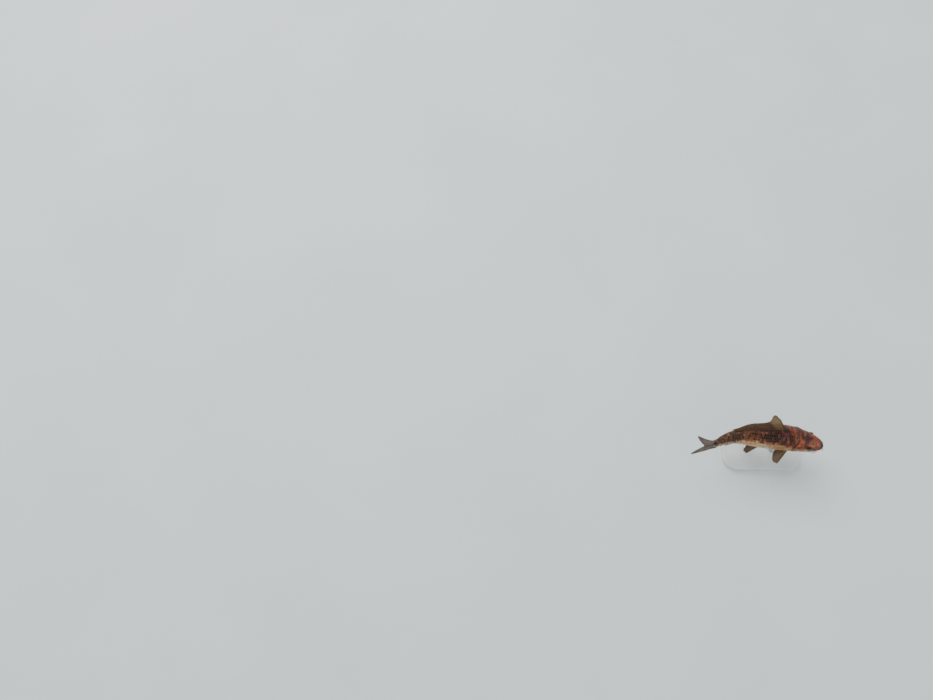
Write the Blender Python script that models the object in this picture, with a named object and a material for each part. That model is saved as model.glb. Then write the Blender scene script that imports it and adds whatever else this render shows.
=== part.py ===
"""A young koi carp, life size, held over a small display stand as if swimming.

Metres, +Z up. The snout points to +X and the fish's left side to +Y. The origin is at the
middle of the stand's underside. Every piece of the fish is drawn in body coordinates:
a station (0 at the snout, 1 where the tail fin starts), a height and a side step. The
function body_point bends and twists these into the swimming pose.
"""

import math

import bmesh
import bpy
from mathutils import Vector

# ---------------------------------------------------------------- driving dimensions
BODY_LENGTH = 0.125  # snout to the root of the tail fin, along the bent body
AXIS_HEIGHT = 0.053  # of the body's axis over the floor
MIDDLE_STATION = 0.47  # the station that stands over the origin
GAP = 0.0003  # left between pieces that meet
FIN_EDGE = 0.0006  # thickness of a fin at its free edge
AROUND = 30  # corners of a body ring

# station, half width, top and bottom, the last three as shares of BODY_LENGTH
OUTLINE = (
    (0.000, 0.0000, -0.0300, -0.0300),
    (0.008, 0.0275, -0.0090, -0.0495),
    (0.030, 0.0510, 0.0115, -0.0655),
    (0.070, 0.0705, 0.0390, -0.0790),
    (0.115, 0.0845, 0.0655, -0.0895),
    (0.200, 0.0995, 0.1030, -0.1050),
    (0.300, 0.1120, 0.1390, -0.1200),
    (0.400, 0.1140, 0.1560, -0.1290),
    (0.480, 0.1110, 0.1560, -0.1300),
    (0.560, 0.1045, 0.1500, -0.1240),
    (0.650, 0.0915, 0.1340, -0.1090),
    (0.740, 0.0745, 0.1110, -0.0880),
    (0.830, 0.0575, 0.0860, -0.0680),
    (0.910, 0.0455, 0.0670, -0.0570),
    (0.960, 0.0375, 0.0620, -0.0548),
    (1.000, 0.0270, 0.0610, -0.0545),
    (1.300, 0.0270, 0.0610, -0.0545),
)
# station, height of the widest level as a share of the ring, roundness above and below it
RING_SHAPE = (
    (0.00, 0.50, 2.0, 2.0),
    (0.06, 0.44, 2.1, 2.2),
    (0.15, 0.42, 2.25, 2.2),
    (0.30, 0.43, 2.05, 2.2),
    (0.50, 0.45, 1.95, 2.2),
    (0.70, 0.48, 1.9, 2.0),
    (1.00, 0.50, 1.9, 1.9),
    (1.30, 0.50, 1.9, 1.9),
)
# station, heading of the body's axis in degrees (positive turns the snout to the left)
HEADING = (
    (0.00, -13.0),
    (0.20, -11.5),
    (0.40, -6.0),
    (0.55, -1.0),
    (0.70, 2.0),
    (0.80, 7.0),
    (0.90, 18.0),
    (0.98, 25.0),
    (1.05, 13.0),
    (1.13, 0.0),
    (1.30, -8.0),
)
# station, roll in degrees (positive leans the back to the left)
ROLL = (
    (0.00, 0.0),
    (0.20, 1.0),
    (0.30, 3.0),
    (0.42, 5.0),
    (0.60, 6.0),
    (0.75, 10.0),
    (0.85, 16.0),
    (0.93, 21.0),
    (1.00, 16.0),
    (1.05, 11.0),
    (1.12, 11.0),
    (1.30, 20.0),
)

GILL_TOP, GILL_SIDE, GILL_UNDER = 0.225, 0.292, 0.185  # stations where the head ends
TAIL_CUT = 0.80  # station where the trunk ends and the tail stem starts

SKIN_BLACK = (0.050, 0.030, 0.022)
SKIN_BROWN = (0.150, 0.070, 0.032)
SKIN_ORANGE = (0.560, 0.115, 0.025)
FIN_OLIVE = (0.230, 0.150, 0.070)
EYE_DARK = (0.015, 0.012, 0.010)
STAND_PALE = (0.620, 0.630, 0.620)
STEEL = (0.560, 0.570, 0.580)


# ---------------------------------------------------------------- body coordinates
def read_off(table, station, column):
    """A smooth reading of one column of a table, by cubic pieces with finite-difference slopes."""
    rows = table
    k = 0
    while k < len(rows) - 2 and station > rows[k + 1][0]:
        k += 1
    # The root of the station keeps the snout blunt: a half width grows as the root of the way back.
    at = [math.sqrt(row[0]) for row in rows]
    x = math.sqrt(max(station, 0.0))

    def slope(i):
        if i == 0:
            return (rows[1][column] - rows[0][column]) / (at[1] - at[0])
        if i == len(rows) - 1:
            return (rows[i][column] - rows[i - 1][column]) / (at[i] - at[i - 1])
        return (rows[i + 1][column] - rows[i - 1][column]) / (at[i + 1] - at[i - 1])

    width = at[k + 1] - at[k]
    t = min(max((x - at[k]) / width, 0.0), 1.0)
    before, after = rows[k][column], rows[k + 1][column]
    rise, fall = slope(k) * width, slope(k + 1) * width
    return (
        before * (1 + 2 * t) * (1 - t) ** 2
        + rise * t * (1 - t) ** 2
        + after * t * t * (3 - 2 * t)
        - fall * t * t * (1 - t)
    )


def trace_axis(steps=260, last=1.3):
    """Points of the body's axis in the floor plane, at even stations from 0 to last."""
    points = [Vector((0.0, 0.0))]
    step = last * BODY_LENGTH / steps
    for i in range(steps):
        angle = math.radians(read_off(HEADING, (i + 0.5) * last / steps, 1))
        points.append(points[-1] - step * Vector((math.cos(angle), math.sin(angle))))
    middle = points[round(MIDDLE_STATION / last * steps)]
    return [p - middle for p in points], last / steps


AXIS, AXIS_STEP = trace_axis()


def body_point(station, side, height):
    """The place of body coordinates: side is towards the left, height towards the back."""
    k = min(max(int(station / AXIS_STEP), 0), len(AXIS) - 2)
    on_axis = AXIS[k].lerp(AXIS[k + 1], station / AXIS_STEP - k)
    heading = math.radians(read_off(HEADING, station, 1))
    roll = math.radians(read_off(ROLL, station, 1))
    left = Vector((-math.sin(heading), math.cos(heading), 0.0))
    up = Vector((0.0, 0.0, 1.0))
    across = left * math.cos(roll) - up * math.sin(roll)
    along_back = up * math.cos(roll) + left * math.sin(roll)
    return Vector((on_axis.x, on_axis.y, AXIS_HEIGHT)) + across * side + along_back * height


def ring_sizes(station, out=0.0):
    """Half width, top, bottom and widest level of the ring at a station, grown by out."""
    half, top, bottom = (read_off(OUTLINE, station, c) * BODY_LENGTH for c in (1, 2, 3))
    level = bottom + (top - bottom) * read_off(RING_SHAPE, station, 1)
    return half + out, top + out, bottom - out, level


def rounded(value, power):
    return math.copysign(abs(value) ** power, value)


def skin_side_height(station, angle, out=0.0):
    """Side and height of the skin at an angle round the body: 0 left, 90 top, 270 underside."""
    half, top, bottom, level = ring_sizes(station, out)
    across, upward = math.cos(math.radians(angle)), math.sin(math.radians(angle))
    power = 2.0 / read_off(RING_SHAPE, station, 2 if upward >= 0 else 3)
    reach = top - level if upward >= 0 else level - bottom
    return half * rounded(across, power), level + reach * rounded(upward, power)


def skin_point(station, angle, out=0.0):
    return body_point(station, *skin_side_height(station, angle, out))


def gill_station(angle):
    """Station of the gill cover's rear edge, where the head ends: it bows back at mid height."""
    upward = math.sin(math.radians(angle))
    end = GILL_TOP if upward >= 0 else GILL_UNDER
    return GILL_SIDE + (end - GILL_SIDE) * abs(upward) ** 1.7


# ---------------------------------------------------------------- making objects
def clear_scene():
    for obj in list(bpy.data.objects):
        bpy.data.objects.remove(obj)


def make_material(name, colour, roughness, metallic=0.0):
    material = bpy.data.materials.new(name)
    material.use_nodes = True
    shader = material.node_tree.nodes["Principled BSDF"]
    shader.inputs["Base Color"].default_value = (*colour, 1.0)
    shader.inputs["Roughness"].default_value = roughness
    shader.inputs["Metallic"].default_value = metallic
    material.diffuse_color = (*colour, 1.0)
    return material


def new_object(name, bm, material, smooth_angle=40.0, outward=False):
    if not outward:
        bmesh.ops.recalc_face_normals(bm, faces=bm.faces)
    mesh = bpy.data.meshes.new(name)
    bm.to_mesh(mesh)
    bm.free()
    mesh.shade_smooth()
    mesh.set_sharp_from_angle(angle=math.radians(smooth_angle))
    if material:
        mesh.materials.append(material)
    obj = bpy.data.objects.new(name, mesh)
    bpy.context.scene.collection.objects.link(obj)
    return obj


def as_cutter(obj):
    obj.hide_render = True
    obj.display_type = "WIRE"
    return obj


def cut_away(obj, cutter):
    modifier = obj.modifiers.new("cut by " + cutter.name, "BOOLEAN")
    modifier.operation = "DIFFERENCE"
    modifier.object = cutter


def body_length_piece(name, rings, station_of, ends, material, out=0.0):
    """A stretch of the body. It starts as a ball, whose rings of latitude become body rings.

    station_of(share, angle) places a ring, share running from 0 to 1 along the piece, and
    ends holds the body coordinates of the two poles, which close the piece.
    """
    bm = bmesh.new()
    bmesh.ops.create_uvsphere(bm, u_segments=AROUND, v_segments=rings + 1, radius=1.0)
    for vert in bm.verts:
        ring = round(math.acos(max(-1.0, min(1.0, vert.co.z))) / math.pi * (rings + 1))
        if ring in (0, rings + 1):
            vert.co = body_point(*ends[min(ring, 1)])
            continue
        angle = math.degrees(math.atan2(vert.co.y, vert.co.x)) % 360.0
        station = station_of((ring - 1) / (rings - 1), angle)
        vert.co = skin_point(station, angle, out)
    return new_object(name, bm, material, outward=True)


def sheet_solid(name, columns, rows, place, thickness, material, edge=None, offset=0.0):
    """A thin closed solid on a surface: place(u, v) gives its points, u and v from 0 to 1.

    The thickness falls from thickness at v = 0 to edge at v = 1.
    """
    bm = bmesh.new()
    bmesh.ops.create_grid(bm, x_segments=columns, y_segments=rows, size=0.5)
    shares = [(vert.co.x + 0.5, vert.co.y + 0.5) for vert in bm.verts]
    for vert, (u, v) in zip(bm.verts, shares):
        vert.co = place(u, v)
    obj = new_object(name, bm, material, outward=True)
    solid = obj.modifiers.new("thickness", "SOLIDIFY")
    solid.thickness = thickness
    solid.offset = offset
    if edge:
        group = obj.vertex_groups.new(name="root")
        for index, (_, v) in enumerate(shares):
            group.add([index], (1.0 - v) ** 3, "REPLACE")
        solid.vertex_group = "root"
        solid.thickness_vertex_group = edge / thickness
    return obj


# ---------------------------------------------------------------- head, trunk and tail stem
def make_body(skin):
    """Head, trunk and tail stem, and a copy of the whole body grown by the gap for cutting."""
    gap = GAP / BODY_LENGTH
    head_core = 0.284  # station of the blunt cone's tip that closes the head inside the neck
    nose = OUTLINE[0][2] * BODY_LENGTH
    head = body_length_piece(
        "head",
        19,
        lambda share, angle: gill_station(angle) * (0.05 + 0.95 * share) ** 2,
        ((0.0, 0.0, nose), (head_core, 0.0, 0.0)),
        skin["head"],
    )
    body_length_piece(
        "trunk",
        17,
        lambda share, angle: gill_station(angle) * (1 - share) + TAIL_CUT * share + gap * (1 - share),
        ((head_core + gap, 0.0, 0.0), (TAIL_CUT, 0.0, 0.0)),
        skin["trunk"],
    )
    body_length_piece(
        "tail_stem",
        6,
        lambda share, angle: TAIL_CUT + gap + (1.0 - TAIL_CUT - gap) * share,
        ((TAIL_CUT + gap, 0.0, 0.0), (1.0, 0.0, 0.0)),
        skin["tail"],
    )
    grown = body_length_piece(
        "grown_body",
        40,
        lambda share, angle: (0.02 + 0.98 * share) ** 2 * (1.0 + gap),
        ((-gap, 0.0, nose), (1.0 + gap, 0.0, 0.0)),
        None,
        out=GAP,
    )
    return head, as_cutter(grown)


def make_mouth(head):
    """A shallow slit round the front of the snout, falling towards the corners of the mouth."""
    level, corner_drop = -0.0043, 0.0026
    half_mouth, depth, opening = 0.0052, 0.0017, 0.0006
    front, corner = 0.012, 0.048  # stations of the slit's floor at the middle and at its ends
    ahead = 0.0025  # how far the cutter stands out in front of the snout

    def place(u, v):
        share = 2 * u - 1
        floor = front + (corner - front) * share * share + depth / BODY_LENGTH
        point = body_point(floor * (1 - v), half_mouth * share, level - corner_drop * share * share)
        return point + Vector((ahead * v, 0.0, 0.0))

    cut_away(head, as_cutter(sheet_solid("mouth_slit", 14, 1, place, opening, None)))


def make_nostrils(head):
    """A small round pit on each side of the snout's top, halfway to the eye."""
    station, off_middle, radius, lifted = 0.068, 36, 0.0009, 0.0003
    for side, name in ((1, "left"), (-1, "right")):
        bm = bmesh.new()
        bmesh.ops.create_uvsphere(bm, u_segments=10, v_segments=6, radius=radius)
        pit = as_cutter(new_object("nostril_pit_" + name, bm, None))
        pit.location = skin_point(station, 90 - side * off_middle, lifted)
        cut_away(head, pit)


def make_gill_cover(head, side, name, material):
    """The bony plate over one gill: a curved D on the cheek, bedded in a recess of its shape."""
    middle = 0.0 if side > 0 else 180.0
    rise, fall = 34.0, 50.0  # degrees round the body, above and below the middle
    front, bow = 0.188, 0.022  # station of the front edge, and how far its ends fall back
    thickness, bed_depth, bed_cover = 0.0010, 0.0013, 0.0008
    bed_turn, bed_front, bed_behind = 4.0, 0.0035, 0.010  # how far the recess passes the plate

    def plate(u, v, bedded):
        across = 2 * v - 1
        turn = -fall + (rise + fall) * v + bedded * bed_turn * across
        angle = middle + side * turn
        start = front + bow * across * across - bedded * bed_front
        station = start + (gill_station(angle) - start) * u + bedded * bed_behind * u
        return skin_point(station, angle, bedded * bed_cover)

    def bed_place(u, v):
        return plate(u, v, 1)

    def cover_place(u, v):
        return plate(u, v, 0)

    bed_wall = bed_depth + bed_cover
    bed = sheet_solid("gill_bed_" + name, 7, 9, bed_place, bed_wall, None, offset=-side)
    cut_away(head, as_cutter(bed))
    sheet_solid("gill_cover_" + name, 7, 9, cover_place, thickness, material, offset=-side)


def make_eye(head, side, name, material):
    """An eyeball that stands a little proud of the cheek, in a socket with the gap round it."""
    radius, station, height, sunk = 0.0029, 0.130, 0.0022, 0.0025
    surface = read_off(OUTLINE, station, 1) * BODY_LENGTH
    place = body_point(station, side * (surface - sunk), height)

    def ball(kind, size, finish):
        bm = bmesh.new()
        bmesh.ops.create_uvsphere(bm, u_segments=16, v_segments=11, radius=size)
        obj = new_object(kind + name, bm, finish)
        obj.location = place
        return obj

    ball("eye_", radius, material)
    cut_away(head, as_cutter(ball("socket_", radius + GAP, None)))


def make_barbel(name, station, angle, route, thickness, grown, material):
    """A soft feeler at the mouth: a tapering cord from the skin through steps of the route."""
    start = skin_point(station, angle, -0.0006)
    curve = bpy.data.curves.new(name, "CURVE")
    curve.dimensions = "3D"
    curve.bevel_depth = thickness / 2
    curve.bevel_resolution = 2
    curve.resolution_u = 3
    curve.use_fill_caps = True
    spline = curve.splines.new("BEZIER")
    spline.bezier_points.add(len(route))
    for index, (point, step) in enumerate(zip(spline.bezier_points, ((0, 0, 0), *route))):
        point.co = start + Vector(step)
        point.handle_left_type = point.handle_right_type = "AUTO"
        point.radius = 1.0 - 0.35 * index / len(route)
    helper = bpy.data.objects.new(name + "_line", curve)
    bpy.context.scene.collection.objects.link(helper)
    graph = bpy.context.evaluated_depsgraph_get()
    mesh = bpy.data.meshes.new_from_object(helper.evaluated_get(graph))
    bpy.data.objects.remove(helper)
    mesh.materials.clear()
    mesh.materials.append(material)
    mesh.shade_smooth()
    barbel = bpy.data.objects.new(name, mesh)
    bpy.context.scene.collection.objects.link(barbel)
    weld = barbel.modifiers.new("closed caps", "WELD")
    weld.merge_threshold = 0.00002
    cut_away(barbel, grown)


def make_barbels(grown, material):
    """Two long feelers at the corners of the mouth and two short ones on the upper lip."""
    corner_route = ((-0.0004, 0.0013, -0.0013), (-0.0027, 0.0018, -0.0042), (-0.0060, 0.0012, -0.0063))
    lip_route = ((0.0012, 0.0008, -0.0006), (0.0014, 0.0018, -0.0020), (0.0006, 0.0026, -0.0036))
    kinds = (
        ("barbel_corner_", 0.046, -36, corner_route, 0.0009),
        ("barbel_lip_", 0.010, 8, lip_route, 0.0008),
    )
    for kind, station, turn, route, thickness in kinds:
        for side, name in ((1, "left"), (-1, "right")):
            angle = turn if side > 0 else 180 - turn
            sided = [(x, side * y, z) for x, y, z in route]
            make_barbel(kind + name, station, angle, sided, thickness, grown, material)


# ---------------------------------------------------------------- fins in the middle plane
def leaning(height, root, lean_start, lean_end, reach):
    """Side and height of a point of a fin that curls sideways as it rises from its root."""
    turn = math.radians(lean_end - lean_start) / reach
    first = math.radians(lean_start)
    side = (math.cos(first) - math.cos(first + turn * height)) / turn
    rise = (math.sin(first + turn * height) - math.sin(first)) / turn
    return side, root + rise


def make_dorsal_fin(grown, material):
    """The long back fin: tall at its front rays, then low and even, curled over to the left."""
    first, last, sunk = 0.400, 0.825, 0.0012
    tall, low, fall = 0.0195, 0.0097, 0.0014
    last_rays, fading = 0.55, 0.50  # where the rays start to shorten again, and by how much
    shoulder = 0.165  # share of the base that carries the tall rays
    short_spine, spine_width = 0.25, 0.03
    sweep, lean_root, lean_tip = 0.0142, 15.0, 51.0

    def place(u, v):
        root_station = first + (last - first) * u
        height = low + (tall - low) / (1.0 + (u / shoulder) ** 4) - fall * u
        height *= 1.0 - short_spine * math.exp(-((u / spine_width) ** 2))
        closing = max(0.0, (u - last_rays) / (1.0 - last_rays))
        height *= 1.0 - fading * closing * closing * (3.0 - 2.0 * closing)
        swept = sweep * height / tall * (0.80 + 0.45 * u)
        station = root_station + swept * v**1.25 / BODY_LENGTH
        top = read_off(OUTLINE, root_station, 2) * BODY_LENGTH - sunk
        side, level = leaning((height + sunk) * v, top, lean_root, lean_tip, tall)
        return body_point(station, side, level)

    fin = sheet_solid("dorsal_fin", 26, 7, place, 0.0022, material, edge=FIN_EDGE)
    cut_away(fin, grown)


def make_anal_fin(grown, material):
    """The short fin behind the vent, swept back under the tail stem and curled to the left."""
    first, last, sunk = 0.742, 0.838, 0.0010
    tall, low = 0.0150, 0.0070
    sweep_front, sweep_back = 0.0120, 0.0075
    lean_root, lean_tip = 4.0, 36.0

    def place(u, v):
        root_station = first + (last - first) * u
        height = tall + (low - tall) * u**0.8
        swept = (sweep_front + (sweep_back - sweep_front) * u) * v
        root = read_off(OUTLINE, root_station, 3) * BODY_LENGTH + sunk
        side, drop = leaning((height + sunk) * v, 0.0, lean_root, lean_tip, tall)
        return body_point(root_station + swept / BODY_LENGTH, side, root - drop)

    fin = sheet_solid("anal_fin", 8, 6, place, 0.0018, material, edge=FIN_EDGE)
    cut_away(fin, grown)


def make_caudal_fin(material):
    """The forked tail fin in two lobes, parted along the middle ray."""
    start = 1.0 + GAP / BODY_LENGTH
    lobe_reach, fork_reach = 0.0315, 0.0150
    root_reach = {1: 0.0077, -1: 0.0069}  # half height of the root, above and below the axis
    spread, parting = math.radians(31.0), 0.02
    tip_start, tip_rounding, bow = 0.86, 0.10, 0.16

    def lobe(name, up):
        def place(u, v):
            share = parting + (1.0 - parting) * u  # 0 at the middle ray, 1 at the outer ray
            reach = fork_reach + (lobe_reach - fork_reach) * share**1.35
            reach *= 1.0 - tip_rounding * max(0.0, (share - tip_start) / (1.0 - tip_start)) ** 2
            angle = spread * share**1.1 * (1.0 - bow * v * share)
            along = reach * v * math.cos(angle)
            height = up * (root_reach[up] * share + reach * v * math.sin(angle))
            return body_point(start + along / BODY_LENGTH, 0.0, height)

        sheet_solid(name, 9, 9, place, 0.0036, material, edge=FIN_EDGE)

    lobe("caudal_fin_upper", 1)
    lobe("caudal_fin_lower", -1)


# ---------------------------------------------------------------- paired fins
def make_paired_fin(name, root, lead, trail, sizes, grown, material):
    """A fan of rays from a short fleshy root. lead and trail are the end rays' directions,
    and sizes holds the lengths of the leading, longest and trailing rays and the root's width."""
    lead_length, top_length, trail_length, root_width = sizes
    longest_ray, droop_share = 0.3, 0.10
    lead, trail = Vector(lead).normalized(), Vector(trail).normalized()
    normal = lead.cross(trail).normalized()
    root_line = (trail - lead * trail.dot(lead)).normalized() * root_width

    def place(u, v):
        rise = math.sin(math.pi / 2 * min(1.0, u / longest_ray))
        fall = max(0.0, (u - longest_ray) / (1.0 - longest_ray)) ** 1.1
        length = lead_length + (top_length - lead_length) * rise + (trail_length - top_length) * fall
        droop = normal * droop_share * length * v * v
        return root + root_line * u + lead.slerp(trail, u) * length * v - droop

    fin = sheet_solid(name, 10, 7, place, 0.0019, material, edge=FIN_EDGE)
    cut_away(fin, grown)


def make_paired_fins(grown, material):
    """The right fins are spread to brake. The left ones are folded down and back."""
    pectoral_sizes = (0.0215, 0.0228, 0.0105, 0.0050)
    pelvic_sizes = (0.0210, 0.0225, 0.0120, 0.0036)
    pectoral_root, pelvic_root = (0.302, 0.0104, -0.0088), (0.538, 0.0050, -0.0136)
    pectoral, pelvic = (pectoral_root, pectoral_sizes), (pelvic_root, pelvic_sizes)
    fins = (
        ("pectoral_fin_right", -1, pectoral, (-0.64, -0.74, -0.22), (-0.95, -0.16, -0.22)),
        ("pectoral_fin_left", 1, pectoral, (-0.66, 0.36, -0.66), (-0.98, 0.10, -0.16)),
        ("pelvic_fin_right", -1, pelvic, (-0.87, -0.42, -0.28), (-0.98, 0.06, -0.20)),
        ("pelvic_fin_left", 1, pelvic, (-0.80, 0.26, -0.54), (-0.98, -0.05, -0.22)),
    )
    for name, side, (at, sizes), lead, trail in fins:
        station, off_middle, height = at
        root = body_point(station, side * off_middle, height)
        make_paired_fin(name, root, lead, trail, sizes, grown, material)


# ---------------------------------------------------------------- display stand
BASE_LENGTH, BASE_WIDTH, BASE_HEIGHT = 0.092, 0.052, 0.006
CORNER_RADIUS, RIM_RADIUS = 0.016, 0.0012
ROD_RADIUS, FOOT_RADIUS = 0.0015, 0.0042
ROD_STATIONS = {"stand_rod_front": 0.36, "stand_rod_rear": 0.60}


def make_stand_base(material):
    """A low plate with rounded corners and a softened upper rim."""
    bm = bmesh.new()
    bmesh.ops.create_cube(bm, size=1.0)
    bmesh.ops.scale(bm, vec=(BASE_LENGTH, BASE_WIDTH, BASE_HEIGHT), verts=bm.verts)
    bmesh.ops.translate(bm, vec=(0, 0, BASE_HEIGHT / 2), verts=bm.verts)
    rounding = {"profile": 0.5, "affect": "EDGES", "material": -1}
    uprights = [e for e in bm.edges if abs(e.verts[0].co.z - e.verts[1].co.z) > BASE_HEIGHT / 2]
    bmesh.ops.bevel(bm, geom=uprights, offset=CORNER_RADIUS, segments=8, **rounding)
    rim = [e for e in bm.edges if all(v.co.z > BASE_HEIGHT / 2 for v in e.verts)]
    bmesh.ops.bevel(bm, geom=rim, offset=RIM_RADIUS, segments=3, **rounding)
    new_object("stand_base", bm, material)


def make_stand_rod(name, station, grown, material):
    """A turned rod with a round foot. Its top is cut to the shape of the belly it holds."""
    foot, reach_in = body_point(station, 0.0, 0.0), 0.002
    top = AXIS_HEIGHT + read_off(OUTLINE, station, 3) * BODY_LENGTH + reach_in
    bottom = BASE_HEIGHT + GAP
    profile = (
        (0.0, bottom),
        (FOOT_RADIUS, bottom),
        (FOOT_RADIUS, bottom + 0.0012),
        (ROD_RADIUS + 0.0002, bottom + 0.0026),
        (ROD_RADIUS, bottom + 0.0040),
        (ROD_RADIUS, top),
        (0.0, top),
    )
    bm = bmesh.new()
    line = [bm.verts.new((radius, 0.0, height)) for radius, height in profile]
    edges = [bm.edges.new(pair) for pair in zip(line, line[1:])]
    turn = {"cent": (0, 0, 0), "axis": (0, 0, 1), "angle": math.tau, "steps": 20}
    bmesh.ops.spin(bm, geom=line + edges, use_merge=True, **turn)
    bmesh.ops.remove_doubles(bm, verts=bm.verts, dist=0.00001)
    rod = new_object(name, bm, material)
    rod.location = (foot.x, foot.y, 0.0)
    cut_away(rod, grown)


def main():
    clear_scene()
    orange = make_material("skin_orange", SKIN_ORANGE, 0.30)
    brown = make_material("skin_brown", SKIN_BROWN, 0.32)
    dark = make_material("skin_dark_brown", SKIN_BLACK, 0.32)
    olive = make_material("fin_olive", FIN_OLIVE, 0.35)
    eye = make_material("eye_dark", EYE_DARK, 0.08)
    pale = make_material("stand_pale", STAND_PALE, 0.45)
    steel = make_material("stand_steel", STEEL, 0.28, metallic=1.0)

    head, grown = make_body({"head": orange, "trunk": brown, "tail": dark})
    make_mouth(head)
    make_nostrils(head)
    for side, name in ((1, "left"), (-1, "right")):
        make_gill_cover(head, side, name, orange)
        make_eye(head, side, name, eye)
    make_barbels(grown, orange)
    make_dorsal_fin(grown, olive)
    make_anal_fin(grown, olive)
    make_caudal_fin(olive)
    make_paired_fins(grown, olive)
    make_stand_base(pale)
    for name, station in ROD_STATIONS.items():
        make_stand_rod(name, station, grown, steel)


main()
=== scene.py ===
"""A young koi carp, life size, held over a small display stand as if swimming."""

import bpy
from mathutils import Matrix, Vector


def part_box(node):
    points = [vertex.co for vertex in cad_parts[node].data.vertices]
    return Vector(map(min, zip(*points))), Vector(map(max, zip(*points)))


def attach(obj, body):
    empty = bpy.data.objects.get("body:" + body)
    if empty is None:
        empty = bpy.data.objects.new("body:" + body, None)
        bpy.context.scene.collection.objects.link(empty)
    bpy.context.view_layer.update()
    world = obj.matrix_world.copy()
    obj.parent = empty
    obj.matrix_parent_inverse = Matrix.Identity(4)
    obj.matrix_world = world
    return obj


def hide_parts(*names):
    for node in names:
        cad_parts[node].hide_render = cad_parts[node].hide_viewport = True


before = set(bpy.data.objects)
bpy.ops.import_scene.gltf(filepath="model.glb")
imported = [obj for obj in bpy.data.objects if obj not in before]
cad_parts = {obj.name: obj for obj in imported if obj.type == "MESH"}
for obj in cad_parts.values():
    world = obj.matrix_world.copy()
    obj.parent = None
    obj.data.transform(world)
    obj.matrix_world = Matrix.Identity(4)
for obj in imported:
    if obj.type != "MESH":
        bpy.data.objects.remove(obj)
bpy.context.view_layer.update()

# ---------------------------------------------------------------- the view
# A visitor's view of the display: looking down steeply from above the fish's right side,
# with the model off to the right so that the pale floor shows round it.
import math
import bpy

viewer_lens = bpy.data.cameras.new("viewer")
viewer_lens.lens, viewer_lens.sensor_width = 35.0, 36.0
viewer = bpy.data.objects.new("viewer", viewer_lens)
viewer.location = (-0.3519, -0.30726, 1.05472)
viewer.rotation_euler = (math.radians(22.5), 0.0, 0.0)  # from straight down
bpy.context.scene.collection.objects.link(viewer)
bpy.context.scene.camera = viewer

# ---------------------------------------------------------------- the skin
# One cast skin from the snout to the tail's root: a hand-painted resin with a wet varnish.
# The mouth, nostrils, eye sockets and gill covers are modelled in it. Behind the gill
# covers it lies a scale's depth lower, so that the scales bring it up to the true outline.
from functools import lru_cache

import bmesh
from mathutils import Vector, noise

BODY_LENGTH = 0.125  # snout to the root of the tail fin, along the bent body
AXIS_HEIGHT = 0.053  # of the body's axis over the floor
MIDDLE_STATION = 0.47  # the station that stands over the origin
MM = 0.001

# station, half width, top and bottom, the last three as shares of BODY_LENGTH
OUTLINE = (
    (0.000, 0.0000, -0.0300, -0.0300),
    (0.008, 0.0275, -0.0090, -0.0495),
    (0.030, 0.0510, 0.0115, -0.0655),
    (0.070, 0.0705, 0.0390, -0.0790),
    (0.115, 0.0845, 0.0655, -0.0895),
    (0.200, 0.0995, 0.1030, -0.1050),
    (0.300, 0.1120, 0.1390, -0.1200),
    (0.400, 0.1140, 0.1560, -0.1290),
    (0.480, 0.1110, 0.1560, -0.1300),
    (0.560, 0.1045, 0.1500, -0.1240),
    (0.650, 0.0915, 0.1340, -0.1090),
    (0.740, 0.0745, 0.1110, -0.0880),
    (0.830, 0.0575, 0.0860, -0.0680),
    (0.910, 0.0455, 0.0670, -0.0570),
    (0.960, 0.0375, 0.0620, -0.0548),
    (1.000, 0.0270, 0.0610, -0.0545),
    (1.300, 0.0270, 0.0610, -0.0545),
)
# station, height of the widest level as a share of the ring, roundness above and below it
RING_SHAPE = (
    (0.00, 0.50, 2.0, 2.0),
    (0.06, 0.44, 2.1, 2.2),
    (0.15, 0.42, 2.25, 2.2),
    (0.30, 0.43, 2.05, 2.2),
    (0.50, 0.45, 1.95, 2.2),
    (0.70, 0.48, 1.9, 2.0),
    (1.00, 0.50, 1.9, 1.9),
    (1.30, 0.50, 1.9, 1.9),
)
# station, heading of the body's axis in degrees (positive turns the snout to the left)
HEADING = (
    (0.00, -13.0), (0.20, -11.5), (0.40, -6.0), (0.55, -1.0), (0.70, 2.0), (0.80, 7.0),
    (0.90, 18.0), (0.98, 25.0), (1.05, 13.0), (1.13, 0.0), (1.30, -8.0),
)
# station, roll in degrees (positive leans the back to the left)
ROLL = (
    (0.00, 0.0), (0.20, 1.0), (0.30, 3.0), (0.42, 5.0), (0.60, 6.0), (0.75, 10.0),
    (0.85, 16.0), (0.93, 21.0), (1.00, 16.0), (1.05, 11.0), (1.12, 11.0), (1.30, 20.0),
)
GILL_TOP, GILL_SIDE, GILL_UNDER = 0.225, 0.292, 0.185  # stations where the head ends
HEAD_RELIEF_END = 0.33  # no relief of the head reaches past this station
SKIN_END = 1.03  # the skin's last station, inside the root of the tail fin
SCALE_DEPTH = 0.34  # how far the skin lies below the outline under the scales, in millimetres


def read_off(table, station, column):
    """One column of a table at a station, by a curve that is smooth in the station's root."""
    k = 0
    while k < len(table) - 2 and station > table[k + 1][0]:
        k += 1

    def slope(i):
        first, second = max(i - 1, 0), min(i + 1, len(table) - 1)
        run = math.sqrt(table[second][0]) - math.sqrt(table[first][0])
        return (table[second][column] - table[first][column]) / run

    start = math.sqrt(table[k][0])
    width = math.sqrt(table[k + 1][0]) - start
    t = min(max((math.sqrt(max(station, 0.0)) - start) / width, 0.0), 1.0)
    before, after = table[k][column], table[k + 1][column]
    rise, fall = slope(k) * width, slope(k + 1) * width
    return (
        before * (1 + 2 * t) * (1 - t) ** 2
        + rise * t * (1 - t) ** 2
        + after * t * t * (3 - 2 * t)
        - fall * t * t * (1 - t)
    )


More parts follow.
